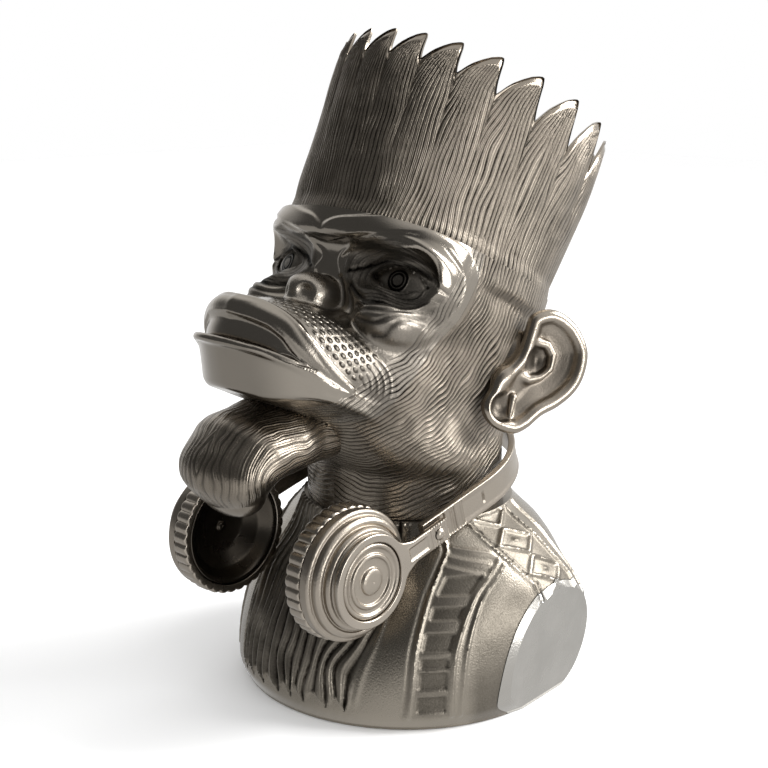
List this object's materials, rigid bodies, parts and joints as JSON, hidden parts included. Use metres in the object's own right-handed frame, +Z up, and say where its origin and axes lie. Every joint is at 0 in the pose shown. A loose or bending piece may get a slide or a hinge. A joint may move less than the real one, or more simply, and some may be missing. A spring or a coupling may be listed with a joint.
{
  "type": "wine bottle holder",
  "caption": "Cast monkey bust with headphones round its neck that holds a wine bottle, leaning back, in a lift-out cup inside its open crown of hair.",
  "frame": {"origin": "middle of the base, on the surface that the bust stands on", "axes": "+Z up; the bust looks along -Y with its face raised; +X is the figure's own left side"},
  "size_m": [0.1832, 0.2568, 0.3268],
  "materials": {
    "cast_metal": "cast and chased, darkened in its grooves and buffed on its ridges",
    "polished_metal": "polished",
    "dark_metal": "cast, darkened",
    "steel": "satin",
    "felt": "felt",
    "cork": "raw cork"
  },
  "bodies": {
    "bust": {"torso_shell": "cast_metal", "arm_cap_left": "polished_metal", "arm_cap_right": "polished_metal", "base_plate": "cast_metal", "base_felt": "felt", "base_screw_1": "steel", "base_screw_2": "steel", "base_screw_3": "steel", "base_screw_4": "steel", "neck_bolt_1": "steel", "neck_bolt_2": "steel", "neck_bolt_3": "steel", "head_shell": "cast_metal", "face_mask": "polished_metal", "lower_jaw": "polished_metal", "goatee": "cast_metal", "ear_left": "cast_metal", "ear_right": "cast_metal", "hair_crown": "cast_metal", "headband": "cast_metal", "band_screw": "steel", "ear_pad_left": "polished_metal", "earcup_left": "cast_metal", "dish_left": "dark_metal", "yoke_left": "polished_metal", "medallion_left": "cast_metal", "band_rivet_left": "polished_metal", "ear_pad_right": "polished_metal", "earcup_right": "cast_metal", "dish_right": "dark_metal", "yoke_right": "polished_metal", "medallion_right": "cast_metal", "band_rivet_right": "polished_metal"},
    "bottle_cup": {"bottle_cup": "steel", "cup_pad": "cork"}
  },
  "joints": [
    {"name": "cup_lift", "type": "slide", "parent": "bust", "child": "bottle_cup", "axis": [0, 0.4384, 0.8988], "range_m": [0, 0.145]}
  ]
}
